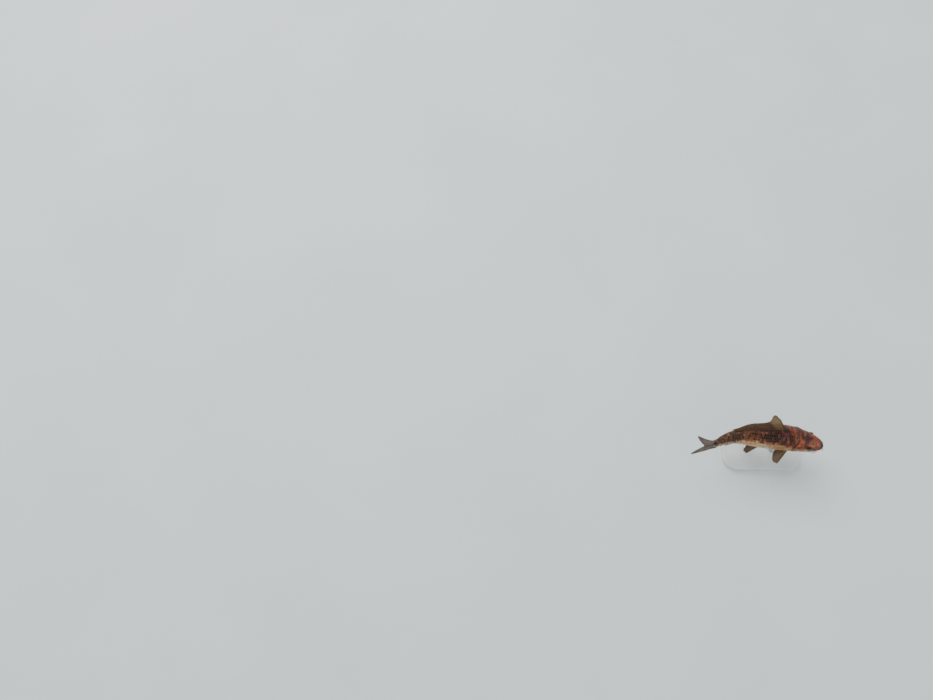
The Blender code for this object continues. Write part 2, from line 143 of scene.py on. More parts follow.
def trace_axis(steps=260, last=1.3):
    """Points of the body's axis over the floor, at even stations from 0 to last."""
    points = [Vector((0.0, 0.0))]
    step = last * BODY_LENGTH / steps
    for i in range(steps):
        angle = math.radians(read_off(HEADING, (i + 0.5) * last / steps, 1))
        points.append(points[-1] - step * Vector((math.cos(angle), math.sin(angle))))
    middle = points[round(MIDDLE_STATION / last * steps)]
    return [p - middle for p in points], last / steps


AXIS, AXIS_STEP = trace_axis()


@lru_cache(maxsize=None)
def ring_at(station):
    """The body's cross-section: its centre, its two directions, its sizes and its roundness."""
    k = min(max(int(station / AXIS_STEP), 0), len(AXIS) - 2)
    on_axis = AXIS[k].lerp(AXIS[k + 1], station / AXIS_STEP - k)
    heading = math.radians(read_off(HEADING, station, 1))
    roll = math.radians(read_off(ROLL, station, 1))
    left, up = Vector((-math.sin(heading), math.cos(heading), 0.0)), Vector((0.0, 0.0, 1.0))
    half, top, bottom = (read_off(OUTLINE, station, c) * BODY_LENGTH for c in (1, 2, 3))
    level = bottom + (top - bottom) * read_off(RING_SHAPE, station, 1)
    return (
        Vector((on_axis.x, on_axis.y, AXIS_HEIGHT)),
        left * math.cos(roll) - up * math.sin(roll),
        up * math.cos(roll) + left * math.sin(roll),
        half,
        top,
        bottom,
        level,
        read_off(RING_SHAPE, station, 2),
        read_off(RING_SHAPE, station, 3),
    )


def body_point(station, side, height):
    """The place of body coordinates: side is towards the left, height towards the back."""
    centre, across, upward = ring_at(station)[:3]
    return centre + across * side + upward * height


def side_height(station, angle, out=0.0):
    """Side and height of the skin at an angle round the body: 0 left, 90 top, 270 underside."""
    _, _, _, half, top, bottom, level, above, below = ring_at(station)
    across, upward = math.cos(math.radians(angle)), math.sin(math.radians(angle))
    power = 2.0 / (above if upward >= 0 else below)
    reach = (top - level if upward >= 0 else level - bottom) + out
    return (
        (half + out) * math.copysign(abs(across) ** power, across),
        level + reach * math.copysign(abs(upward) ** power, upward),
    )


def skin_point(station, angle, out=0.0):
    return body_point(station, *side_height(station, angle, out))


def gill_station(angle):
    """Station of the gill cover's rear edge, where the head ends: it bows back at mid height."""
    upward = math.sin(math.radians(angle))
    end = GILL_TOP if upward >= 0 else GILL_UNDER
    return GILL_SIDE + (end - GILL_SIDE) * abs(upward) ** 1.7


def eased(value, start, end):
    """0 before start and 1 past end, with a soft change between them."""
    t = min(max((value - start) / (end - start), 0.0), 1.0)
    return t * t * (3.0 - 2.0 * t)


def bump(value, middle, reach):
    return math.exp(-(((value - middle) / reach) ** 2))


def blended(first, second, share):
    return tuple(a + (b - a) * share for a, b in zip(first, second))


# the paints, as linear red, green and blue
CREAM = (0.56, 0.335, 0.165)
PEARL = (0.50, 0.37, 0.21)
BELLY = (0.60, 0.43, 0.27)
PALE = (0.28, 0.185, 0.130)
GOLD = (0.42, 0.225, 0.078)
TAN = (0.150, 0.070, 0.034)
PEACH = (0.30, 0.088, 0.034)
GLOW = (0.31, 0.072, 0.022)
ORANGE = (0.190, 0.044, 0.018)
AMBER = (0.165, 0.058, 0.018)
RED = (0.155, 0.032, 0.016)
CRIMSON = (0.115, 0.026, 0.026)
RUST = (0.090, 0.022, 0.010)
MAROON = (0.036, 0.011, 0.012)
PLUM = (0.038, 0.014, 0.023)
BROWN = (0.060, 0.024, 0.012)
UMBER = (0.036, 0.017, 0.011)
BLACK = (0.010, 0.005, 0.008)
CREASE_SHADE = (0.020, 0.008, 0.007)  # painted shade inside the mouth and the nostrils, round the eyes, and in the gill's edge and folds

# station, how far from the ridge of the back the dark colours reach, in degrees
SIDE_LINE = (
    (0.0, 68.0), (0.30, 74.0), (0.38, 73.0), (0.50, 71.0), (0.60, 66.0), (0.70, 60.0),
    (0.76, 65.0), (0.81, 74.0), (0.86, 81.0), (0.92, 79.0), (1.05, 72.0),
)
# colour, station and angle of its middle, how far it reaches along and round the body, softness
PATCHES = (
    (ORANGE, 0.095, 102, 0.075, 48, 0.30),
    (ORANGE, 0.095, 25, 0.080, 40, 0.35),
    (GLOW, 0.060, 112, 0.024, 15, 0.50),
    (AMBER, 0.112, 108, 0.026, 11, 0.50),
    (PEACH, 0.125, 129, 0.048, 8, 0.50),
    (GLOW, 0.110, 48, 0.050, 14, 0.50),
    (PALE, 0.090, 187, 0.110, 20, 0.35),
    (PALE, 0.090, -7, 0.110, 20, 0.35),
    (MAROON, 0.000, 90, 0.036, 85, 0.45),
    (MAROON, 0.138, 86, 0.014, 9, 0.40),
    (MAROON, 0.178, 98, 0.026, 20, 0.30),
    (UMBER, 0.190, 107, 0.012, 9, 0.40),
    (BROWN, 0.050, 60, 0.018, 12, 0.45),
    (BROWN, 0.165, 50, 0.026, 12, 0.45),
    (TAN, 0.208, 74, 0.012, 14, 0.50),
    (BLACK, 0.104, 159, 0.032, 8, 0.35),
    (BLACK, 0.145, 147, 0.026, 9, 0.35),
    (BLACK, 0.104, 21, 0.032, 8, 0.35),
    (BLACK, 0.145, 33, 0.026, 9, 0.35),
    (RUST, 0.240, 98, 0.022, 13, 0.40),
    (GLOW, 0.236, 132, 0.034, 21, 0.35),
    (GLOW, 0.256, 141, 0.020, 8, 0.50),
    (PEACH, 0.205, 166, 0.020, 15, 0.40),
    (RUST, 0.240, 158, 0.022, 8, 0.35),
    (TAN, 0.270, 174, 0.030, 11, 0.60),
    (RUST, 0.255, 12, 0.040, 20, 0.35),
    (GLOW, 0.225, 38, 0.030, 16, 0.40),
    (PEACH, 0.205, 14, 0.018, 14, 0.40),
    (PLUM, 0.262, 84, 0.030, 9, 0.35),
    (RED, 0.325, 78, 0.045, 17, 0.35),
    (ORANGE, 0.328, 84, 0.020, 6, 0.50),
    (RUST, 0.300, 57, 0.050, 12, 0.40),
    (CRIMSON, 0.405, 108, 0.028, 12, 0.40),
    (CRIMSON, 0.425, 130, 0.022, 13, 0.40),
    (RUST, 0.350, 146, 0.055, 11, 0.40),
    (ORANGE, 0.380, 34, 0.070, 18, 0.35),
    (BLACK, 0.336, 115, 0.033, 20, 0.25),
    (BLACK, 0.320, 18, 0.050, 14, 0.30),
    (BLACK, 0.440, 88, 0.046, 16, 0.35),
    (BLACK, 0.500, 110, 0.070, 25, 0.35),
    (BLACK, 0.570, 118, 0.036, 15, 0.35),
    (BLACK, 0.500, 142, 0.045, 9, 0.50),
    (BLACK, 0.520, 56, 0.080, 14, 0.40),
    (MAROON, 0.640, 76, 0.060, 12, 0.45),
    (UMBER, 0.662, 111, 0.028, 9, 0.35),
    # a pale line along the back fin's root, lightened further as a painted highlight
    (TAN, 0.625, 103, 0.070, 5, 0.60),
    (TAN, 0.715, 96, 0.022, 12, 0.50),
    (BLACK, 0.765, 110, 0.025, 13, 0.35),
    # a painted highlight: one pale scale in the black spot stands for a glint of light
    (PALE, 0.766, 118, 0.011, 6, 0.40),
    (BLACK, 0.802, 128, 0.028, 9, 0.40),
    # tan scales of the tail stem, lightened further as a painted glint
    (TAN, 0.818, 98, 0.018, 11, 0.50),
    (TAN, 0.845, 176, 0.012, 14, 0.50),
    (UMBER, 0.890, 112, 0.044, 30, 0.40),
    (UMBER, 0.880, 62, 0.040, 18, 0.40),
    (TAN, 0.965, 146, 0.024, 14, 0.50),
    (TAN, 0.985, 100, 0.016, 10, 0.50),
)


def markings(station, angle, stray=0.0):
    """The painted colour at a place of the skin; stray moves a patch's edge in or out."""
    place = skin_point(min(station, SKIN_END), angle)
    drift = noise.noise(place * 260.0)
    fine = noise.noise(place * 620.0 + Vector((7.0, 0.0, 0.0)))
    # 0 on the ridge of the back, 90 on the widest level, 180 on the belly
    down = abs((angle - 90.0 + 180.0) % 360.0 - 180.0)
    side_line = read_off(SIDE_LINE, station, 1) + 7.0 * drift + 9.0 * stray
    flank = blended(GOLD, PEARL, eased(station + 0.08 * drift + 0.03 * stray, 0.34, 0.58))
    flank = blended(flank, CREAM, eased(station + 0.08 * drift, 0.56, 0.68))
    flank = blended(flank, PALE, 0.85 * eased(station, 0.76, 0.88))
    flank = blended(flank, BELLY, 0.8 * eased(down, 104.0, 138.0))
    back = blended(RUST, PLUM, eased(station + 0.08 * stray, 0.34, 0.46))
    back = blended(back, BROWN, eased(station + 0.05 * stray, 0.57, 0.70))
    back = blended(back, UMBER, 0.7 * eased(station, 0.76, 0.84))
    back = blended(back, BROWN, 0.8 * eased(station, 0.93, 1.0))
    speckled = blended(blended(ORANGE, RUST, 0.4), AMBER, eased(station + 0.2 * stray, 0.42, 0.60))
    speckled = blended(speckled, UMBER, 0.8 * eased(station, 0.70, 0.80))
    colour = blended(back, speckled, eased(down, side_line - 17.0, side_line - 7.0))
    colour = blended(colour, flank, eased(down, side_line - 4.0, side_line + 9.0))
    rusty = 0.60 * eased(station, 0.28, 0.34) * (1.0 - eased(station, 0.72, 0.80))
    colour = blended(colour, PEACH, rusty * bump(down, side_line + 1.0, 7.0))
    for tone, s, a, along, round_it, soft in PATCHES:
        off = ((angle - a + 180.0) % 360.0 - 180.0) / round_it
        far = math.hypot((station - s) / along, off) + 0.34 * drift + 0.24 * fine + 0.32 * stray
        if far < 1.0 + soft:
            colour = blended(colour, tone, 1.0 - eased(far, 1.0 - soft, 1.0 + soft))
    if station < 0.27:  # the head's soft clouds and small dark spots
        above = 1.0 - eased(down, 72.0, 100.0)
        clouds = noise.noise(place * 480.0 + Vector((0.0, 9.0, 0.0)))
        spots = eased(noise.noise(place * 1000.0) + 0.6 * fine, 0.10, 0.50)
        colour = blended(colour, MAROON, above * max(0.60 * spots, 0.75 * eased(clouds, 0.12, 0.45)))
        colour = tuple(c * 2.0 ** (0.9 * fine * above - 0.35 * clouds) for c in colour)
    return colour


# the mouth: a slit round the front of the snout that falls towards its corners
MOUTH_HEIGHT, MOUTH_HALF, MOUTH_DROP = -0.0043, 0.0052, 0.0026


def mouth_point(share):
    """A point of the mouth's line on the skin; share is -1 and 1 at the corners."""
    side, height = MOUTH_HALF * share, MOUTH_HEIGHT - MOUTH_DROP * share * share
    near, far = 0.0, 0.12
    for _ in range(26):
        station = (near + far) / 2
        _, _, _, half, top, bottom, level, above, below = ring_at(station)
        reach, power = (top - level, above) if height >= level else (level - bottom, below)
        filled = (abs(side) / half) ** power + (abs(height - level) / reach) ** power
        near, far = (near, station) if filled < 1.0 else (station, far)
    return body_point(station, side, height)


MOUTH_LINE = [mouth_point(i / 24 - 1.0) for i in range(49)]


def mouth_relief(place):
    """Height of the lips at a place, and how far inside the mouth it is, which sets the painted shade
    there.
    """
    nearest = min(MOUTH_LINE, key=lambda p: (p - place).length_squared)
    off = (nearest - place).length / MM
    upper = eased((place.z - nearest.z) / MM, -0.45, 0.45)
    lip = 0.42 + 0.10 * upper
    relief = lip * bump(off, 0.68 + 0.08 * upper, 0.46) - 0.80 * bump(off, 0.0, 0.30)
    relief -= (0.14 + 0.10 * upper) * bump(off, 1.45 + 0.30 * upper, 0.32)
    relief += 0.12 * upper * bump(off, 2.35, 0.45)
    return relief * MM, bump(off, 0.0, 0.30)


EYE_STATION, EYE_HEIGHT, EYE_RADIUS, EYE_SUNK = 0.130, 0.0022, 0.0029, 0.0025
NOSTRIL_STATION, NOSTRIL_TURN = 0.068, 36.0


def eye_place(side):
    """An eye's centre, and the way it looks."""
    _, across, _, half = ring_at(EYE_STATION)[:4]
    return body_point(EYE_STATION, side * (half - EYE_SUNK), EYE_HEIGHT), across * side


EYES = [eye_place(side) for side in (1, -1)]
NOSTRILS = [skin_point(NOSTRIL_STATION, 90.0 - side * NOSTRIL_TURN) for side in (1, -1)]


def head_relief(station, angle, place):
    """How far the skin stands over the plain body at a place of the head, and its darkness: painted shade
    in its hollows and creases.
    """
    relief, dark = 0.0, 0.0
    turn = (angle + 90.0) % 360.0 - 90.0  # -90 to 270
    rise = turn if turn <= 90.0 else 180.0 - turn  # -90 under, 0 at the side, 90 on top
    if station < 0.085:
        relief, dark = mouth_relief(place)
    if 0.04 < station < 0.1:
        for pit in NOSTRILS:
            off = (place - pit) / MM
            if off.length < 2.5:
                ahead, aside = off.x, math.hypot(off.y, off.z)
                hole = bump(ahead, -0.45, 0.42) * bump(aside, 0.0, 0.55)
                front_hole = bump(ahead, 0.75, 0.28) * bump(aside, 0.0, 0.34)
                flap = bump(ahead, 0.20, 0.24) * bump(aside, 0.0, 0.62)
                rim = bump(off.length, 1.25, 0.35)
                relief += (0.42 * flap + 0.12 * rim - 0.60 * hole - 0.45 * front_hole) * MM
                # painted shade in the nostrils
                dark = max(dark, hole, 0.8 * front_hole)
    if 0.07 < station < 0.2:
        for centre, looks in EYES:
            off = place - centre
            if off.dot(looks) > 0.0:
                away = (off - looks * off.dot(looks)).length / MM
                relief += (0.36 * bump(away, 2.46, 0.34) - 1.9 * (1.0 - eased(away, 1.40, 2.30))) * MM
                relief -= 0.16 * bump(away, 3.30, 0.40) * MM
                # painted shade in the hollow round the eye
                dark = max(dark, 0.85 * bump(away, 2.10, 0.26))
    edge = gill_station(angle)
    behind = (station - edge) * BODY_LENGTH / MM
    cover = eased(rise, -84.0, -66.0) * (1.0 - eased(rise, 40.0, 62.0))
    lift = 0.66 * math.exp(min(behind, 0.0) / 2.4) * (1.0 - eased(behind, -0.05, 0.40))
    lift -= 0.34 * bump(behind, 0.66, 0.40)
    relief += (cover * lift - SCALE_DEPTH * eased(behind, 0.0, 0.6 + 2.4 * (1.0 - cover))) * MM
    # painted shade in the gap under the gill cover's edge
    dark = max(dark, 0.9 * cover * bump(behind, 0.50, 0.36))
    # the front edge of the gill cover, and the fold between its plates
    front = 0.186 + 0.030 * (rise / 60.0) ** 2
    line = bump((station - front) * BODY_LENGTH / MM, 0.0, 0.42)
    line *= eased(rise, -62.0, -40.0) * (1.0 - eased(rise, 24.0, 38.0))
    lower = 0.22 + 0.0011 * (rise + 44.0)
    fold = bump(rise, -34.0 - 260.0 * (station - lower), 3.2) * eased(station, 0.19, 0.205)
    fold *= 1.0 - eased(behind, -1.4, -0.5)
    relief -= (0.30 * line + 0.16 * fold) * MM
    # painted shade in the groove and the fold
    dark = max(dark, 0.60 * line, 0.40 * fold)
    # the folds under the throat, and the groove between the jaws
    if rise < -40.0 and station < 0.2:
        along = eased(station, 0.085, 0.11) * (1.0 - eased(station, 0.17, 0.2))
        for at in (-50.0, -58.0, -66.0):
            relief -= 0.11 * bump(rise, at, 1.9) * along * MM
        relief -= 0.20 * bump(rise, -90.0, 4.0) * eased(station, 0.04, 0.07) * MM
    return relief, dark


def ring_stations():
    """Stations of the skin's rings, close together over the head and wider apart behind it."""
    stations = [0.02 * (i / 22) ** 2 for i in range(1, 23)]
    while stations[-1] < SKIN_END:
        stations.append(stations[-1] + 0.0015 + 0.0036 * eased(stations[-1], 0.30, 0.44))
    return stations


def new_finish(name):
    material = bpy.data.materials.new(name)
    material.use_nodes = True
    return material, material.node_tree, material.node_tree.nodes["Principled BSDF"]


def grained(tree, scale, detail):
    """A cloudy value from 0 to 1 that stays where it is on the piece."""
    where, grain = tree.nodes.new("ShaderNodeTexCoord"), tree.nodes.new("ShaderNodeTexNoise")
    grain.inputs["Scale"].default_value, grain.inputs["Detail"].default_value = scale, detail
    tree.links.new(where.outputs["Object"], grain.inputs["Vector"])
    return grain.outputs["Fac"]


def ranged(tree, value, low, high, start=0.0, end=1.0):
    """Follows a value: low at its start, high at its end."""
    change = tree.nodes.new("ShaderNodeMapRange")
    for socket, number in (("From Min", start), ("From Max", end), ("To Min", low), ("To Max", high)):
        change.inputs[socket].default_value = number
    tree.links.new(value, change.inputs["Value"])
    return change.outputs["Result"]


def toned(tree, colour, share):
    """A colour made lighter or darker by a share."""
    mix = tree.nodes.new("ShaderNodeVectorMath")
    mix.operation = "SCALE"
    tree.links.new(colour, mix.inputs[0])
    tree.links.new(share, mix.inputs["Scale"])
    return mix.outputs["Vector"]


def pebbled(tree, shader, height, strength, depth):
    """The fine unevenness of a coat of paint."""
    bumps = tree.nodes.new("ShaderNodeBump")
    bumps.inputs["Strength"].default_value, bumps.inputs["Distance"].default_value = strength, depth
    tree.links.new(height, bumps.inputs["Height"])
    tree.links.new(bumps.outputs["Normal"], shader.inputs["Normal"])


def painted(material_name, coat, roughness, grain, depth):
    """A varnished finish that takes its colour from the piece's painted colours."""
    material, tree, shader = new_finish(material_name)
    paint = tree.nodes.new("ShaderNodeAttribute")
    paint.attribute_name = "paint"
    mottle = grained(tree, grain, 4.0)
    shade = ranged(tree, mottle, 0.80, 1.18, 0.25, 0.75)
    tree.links.new(toned(tree, paint.outputs["Color"], shade), shader.inputs["Base Color"])
    tree.links.new(ranged(tree, mottle, *roughness), shader.inputs["Roughness"])
    pebbled(tree, shader, grained(tree, grain * 2.6, 3.0), 0.5, depth)
    shader.inputs["Coat Weight"].default_value = coat
    shader.inputs["Coat Roughness"].default_value = 0.16
    shader.inputs["Specular IOR Level"].default_value = 0.13
    return material


def finished(name, bm, material, body="root", replaces=(), sharp=None):
    """Turns a worked bmesh into a piece of the model that rides on its body."""
    mesh = bpy.data.meshes.new(name)
    bm.to_mesh(mesh)
    bm.free()
    mesh.shade_smooth()
    if sharp:
        mesh.set_sharp_from_angle(angle=math.radians(sharp))
    for one in material if isinstance(material, (list, tuple)) else (material,):
        mesh.materials.append(one)
    piece = bpy.data.objects.new(name, mesh)
    bpy.context.scene.collection.objects.link(piece)
    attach(piece, body)
    if replaces:
        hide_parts(*replaces)
    return piece


SKIN_FINISH = painted("varnished skin", 0.05, (0.32, 0.50), 1400.0, 0.00006)
AROUND = 192  # columns of the skin
stations = ring_stations()
skin = bmesh.new()
bmesh.ops.create_uvsphere(skin, u_segments=AROUND, v_segments=len(stations) + 1, radius=1.0)
last_ring = len(stations) + 1
paint = skin.verts.layers.float_color.new("paint")
unwrap = skin.loops.layers.uv.new("OFBake")
spots = {}
for vert in skin.verts:
    ring = round(math.acos(max(-1.0, min(1.0, vert.co.z))) / math.pi * last_ring)
    angle = round(math.degrees(math.atan2(vert.co.y, vert.co.x)) % 360.0, 4) % 360.0
    if ring == 0:
        spots[vert] = (0.0, 90.0)
        vert.co = body_point(0.0, 0.0, OUTLINE[0][2] * BODY_LENGTH)
    elif ring == last_ring:
        spots[vert] = (stations[-1], 90.0)
        vert.co = body_point(stations[-1], 0.0, 0.0004)
    else:
        station = stations[ring - 1]
        spots[vert] = (station, angle)
        narrow = 1.0 - 0.62 * eased(station, 0.985, SKIN_END)  # it tapers into the tail fin
        side, height = side_height(station, angle)
        vert.co = body_point(station, side * narrow, height * (1.0 - 0.06 * (1.0 - narrow)))
skin.normal_update()
moves = {}
for vert, (station, angle) in spots.items():
    colour = markings(station, angle)
    if station < HEAD_RELIEF_END:
        relief, dark = head_relief(station, angle, vert.co)
        # painted shade in the hollows and creases of the head
        colour = blended(colour, CREASE_SHADE, dark)
    else:
        relief = -SCALE_DEPTH * MM * (1.0 - eased(station, 0.99, 1.02))
        colour = tuple(0.7 * c for c in colour)  # painted shade: darker where it shows between the scales
    moves[vert] = vert.normal * relief
    vert[paint] = (*colour, 1.0)
for vert, move in moves.items():
    vert.co += move
for face in skin.faces:
    turns = [(spots[loop.vert][1] + 90.0) % 360.0 for loop in face.loops]
    for loop, turn in zip(face.loops, turns):
        if max(turns) - turn > 180.0:
            turn += 360.0
        loop[unwrap].uv = (0.01 + 0.95 * spots[loop.vert][0], 0.01 + turn / 380.0)
finished("koi_skin", skin, SKIN_FINISH,
         replaces=("head", "trunk", "tail_stem", "gill_cover_left", "gill_cover_right"))

# ---------------------------------------------------------------- the scales
# Thin overlapping plates in rows that follow the lateral line, each rooted in the skin at its
# front and free at its rounded rear edge. They are cast, painted and varnished with the skin.
import random
from bisect import bisect_right

# station, width of a row of scales in millimetres
ROW_WIDTH = (
    (0.18, 2.5), (0.28, 3.2), (0.36, 3.7), (0.50, 3.7), (0.65, 3.3), (0.80, 2.7), (0.95, 2.3), (1.1, 2.1),
)
# station, how far the lateral line runs over the widest level, in degrees
LATERAL_LINE = ((0.18, 26.0), (0.30, 12.0), (0.45, 3.0), (0.60, 0.0), (0.80, 2.0), (1.0, 4.0), (1.1, 4.0))
# step along the body, and reach to the sides, rear and front, as shares of the row's width
SCALE_PITCH, SCALE_HALF, SCALE_REAR, SCALE_FRONT = 0.676, 0.84, 0.72, 0.54
SCALE_THICK = 0.00011
# depth of a scale's root under the outline, rise to its rear and in its middle, in millimetres,
# and what the scales of the two ridges add
SCALE_SUNK, SCALE_RISE, SCALE_DOME, RIDGE_LIFT = 0.42, 0.34, 0.05, 0.06
FIRST_SCALE, LAST_SCALE = 0.19, 1.022  # stations


@lru_cache(maxsize=None)
def arcs_at(station):
    """Lengths round the left side from the lateral line, at every 3 degrees from -90 to 90."""
    lateral = read_off(LATERAL_LINE, station, 1)
    points = [Vector(side_height(station, a)) for a in range(-90, 91, 3)]
    arcs = [0.0]
    for before, after in zip(points, points[1:]):
        arcs.append(arcs[-1] + (after - before).length)
    k = int((lateral + 90.0) // 3)
    start = arcs[k] + (arcs[k + 1] - arcs[k]) * ((lateral + 90.0) / 3 - k)
    return [arc - start for arc in arcs]


def turn_at(station, arc):
    """The angle at a length round the body from the left lateral line, over the top if need be."""
    arcs = arcs_at(round(station, 3))
    if arc > arcs[-1]:
        return 180.0 - turn_at(station, 2 * arcs[-1] - arc)
    if arc < arcs[0]:
        return -180.0 - turn_at(station, 2 * arcs[0] - arc)
    k = min(bisect_right(arcs, arc) - 1, len(arcs) - 2)
    return -90.0 + 3.0 * (k + (arc - arcs[k]) / (arcs[k + 1] - arcs[k]))


def cut_scale():
    """One flat scale of unit radius and thickness: a disc whose inner ring lets it bend."""
    bm = bmesh.new()
    bmesh.ops.create_circle(bm, cap_ends=True, segments=16, radius=1.0)
    top = bm.faces[:]
    grown = bmesh.ops.extrude_face_region(bm, geom=top, use_keep_orig=True)
    under = [v for v in grown["geom"] if isinstance(v, bmesh.types.BMVert)]
    bmesh.ops.translate(bm, vec=(0.0, 0.0, -1.0), verts=under)
    bmesh.ops.inset_region(bm, faces=top, thickness=0.40, use_even_offset=True)
    bmesh.ops.poke(bm, faces=top)
    bmesh.ops.recalc_face_normals(bm, faces=bm.faces)
    mesh = bpy.data.meshes.new("scale")
    bm.to_mesh(mesh)
    bm.free()
    return mesh


def scale_roots():
    """Station, length from the lateral line and side of each scale's middle, row by row."""
    roots = []
    for half_step in (0, 1):
        station = FIRST_SCALE
        station += half_step * 0.5 * SCALE_PITCH * read_off(ROW_WIDTH, station, 1) * MM / BODY_LENGTH
        while station < LAST_SCALE:
            width = read_off(ROW_WIDTH, station, 1) * MM
            arcs = arcs_at(round(station, 3))
            for row in range(-9, 10):
                if (row + half_step) % 2:
                    continue
                arc = row * width
                if arcs[0] + 0.30 * width < arc < arcs[-1] - 0.30 * width:
                    for side in (1, -1):
                        roots.append((station, arc, side, row))
            if half_step == 0:
                roots.append((station, arcs[-1], 0, 20))
                roots.append((station, arcs[0], 0, -20))
            station += SCALE_PITCH * width / BODY_LENGTH
    return roots


def lay_scales(name, roots):
    """Joins copies of the flat scale, each bent onto the body at its root."""
    flat, chance = cut_scale(), random.Random(name)
    coat = bmesh.new()
    paint = coat.verts.layers.float_color.new("paint")
    unwrap = coat.loops.layers.uv.new("OFBake")
    shape = [v.co.copy() for v in flat.vertices]
    for station, arc, side, row in roots:
        angle = turn_at(station, arc)
        angle = angle if side >= 0 else 180.0 - angle
        rise = (angle + 90.0) % 360.0 - 90.0
        rise = rise if rise <= 90.0 else 180.0 - rise
        end = 1.006 + 0.012 * math.cos(math.radians(rise))
        if station < gill_station(angle) + 0.004 or station > end:
            continue
        width = read_off(ROW_WIDTH, station, 1) * MM
        wobble, stray, shade, fleck = (chance.uniform(-1.0, 1.0) for _ in range(4))
        tone = markings(station + 0.3 * width / BODY_LENGTH, angle, stray)
        down = abs((angle - 90.0 + 180.0) % 360.0 - 180.0)
        pale = eased(sum(tone), 0.30, 0.80)
        accent = RED if station < 0.43 else TAN if station > 0.76 else AMBER if down > 40.0 else RUST
        strength = 0.40 if station > 0.76 else 0.70
        tone = blended(tone, accent, (1.0 - pale) * strength * eased(fleck, 0.38, 0.82))
        tone = blended(tone, BLACK, (1.0 - pale) * 0.75 * (1.0 - eased(fleck, -0.85, -0.40)))
        tone = blended(tone, AMBER, 0.62 * pale * eased(wobble, 0.25, 0.80) * bump(down, 82.0, 22.0))
        tone = tuple(c * 2.0 ** ((1.25 - 1.0 * pale) * shade) for c in tone)
        known_verts, known_faces = len(coat.verts), len(coat.faces)
        coat.from_mesh(flat)
        coat.verts.ensure_lookup_table()
        coat.faces.ensure_lookup_table()
        coat.verts.index_update()
        size = width * (1.0 + 0.05 * wobble)
        for vert, place in zip(coat.verts[known_verts:], shape):
            x, y = place.x, place.y
            along = x * size * (SCALE_REAR if x > 0 else SCALE_FRONT)
            across = y * size * SCALE_HALF * (1.0 if x > 0 else 1.0 - 0.12 * x * x)
            there = station + along / BODY_LENGTH
            length = arc + across if side >= 0 else arc - across
            turn = turn_at(there, length)
            turn = turn if side >= 0 else 180.0 - turn
            share = (along / size + SCALE_FRONT) / (SCALE_FRONT + SCALE_REAR)
            lift = (SCALE_RISE * share - SCALE_SUNK + SCALE_DOME * (1.0 - x * x - y * y)) * MM
            lift += (RIDGE_LIFT * MM if side == 0 else 0.0) + place.z * SCALE_THICK
            vert.co = skin_point(round(there, 4), turn, lift)
            far = math.hypot(x, y)
            edge, core = eased(far, 0.62, 1.0) * (x > -0.3), bump(math.hypot(x - 0.1, y), 0.0, 0.50)
            colour = blended(tone, blended(tone, RUST, 0.30), core * pale * (down < 100.0))
            colour = blended(colour, TAN, 0.42 * edge * (1.0 - pale))
            colour = tuple(c * (1.0 - 0.26 * edge * pale - 0.50 * core * (1.0 - pale)) for c in colour)
            # the pores of the lateral line
            if row == 0 and math.hypot(x - 0.15, y * 1.6) < 0.3:
                colour = blended(colour, BLACK, 0.7)
            vert[paint] = (*colour, 1.0)
        u, v = 0.01 + 0.95 * station, 0.01 + ((angle + 90.0) % 360.0) / 380.0
        for face in coat.faces[known_faces:]:
            for loop in face.loops:
                place = shape[loop.vert.index - known_verts]
                loop[unwrap].uv = (u + 0.0015 * place.x, v + 0.0015 * place.y)
    finished(name, coat, SCALE_FINISH, sharp=50.0)


SCALE_FINISH = painted("varnished scales", 0.05, (0.28, 0.46), 1700.0, 0.00005)
roots = scale_roots()
lay_scales("koi_scales_left", [r for r in roots if r[2] > 0])
lay_scales("koi_scales_right", [r for r in roots if r[2] < 0])
lay_scales("koi_scales_ridges", [r for r in roots if r[2] == 0])

# ---------------------------------------------------------------- the eyes
# Glass eyes set in the sockets: a black pupil, a narrow bright ring and a dark golden iris
# with fine streaks, all under a clear domed front.


def eye_finish():
    material, tree, shader = new_finish("glass eye")
    away = tree.nodes.new("ShaderNodeAttribute")
    away.attribute_name = "from_pupil"
    ramp = tree.nodes.new("ShaderNodeValToRGB")
    # from the middle of the pupil to the rim of the glass
    stops = (
        (0.000, (0.002, 0.002, 0.002)),
        (0.270, (0.002, 0.002, 0.002)),
        (0.285, (0.42, 0.22, 0.06)),
        (0.325, (0.20, 0.090, 0.024)),
        (0.400, (0.060, 0.027, 0.011)),
        (0.510, (0.095, 0.044, 0.017)),
        (0.590, (0.020, 0.011, 0.008)),
        (0.760, (0.010, 0.007, 0.006)),
    )
    ramp.color_ramp.elements[0].position, ramp.color_ramp.elements[1].position = stops[0][0], stops[-1][0]
    for at, _ in stops[1:-1]:
        ramp.color_ramp.elements.new(at)
    for element, (_, tone) in zip(ramp.color_ramp.elements, stops):
        element.color = (*tone, 1.0)
    tree.links.new(away.outputs["Fac"], ramp.inputs["Fac"])
    streaks = ranged(tree, grained(tree, 1600.0, 5.0), 0.55, 1.45)
    tree.links.new(toned(tree, ramp.outputs["Color"], streaks), shader.inputs["Base Color"])
    shader.inputs["Roughness"].default_value = 0.38
    shader.inputs["Specular IOR Level"].default_value = 0.10
    shader.inputs["Coat Weight"].default_value = 0.45
    shader.inputs["Coat Roughness"].default_value = 0.05
    return material


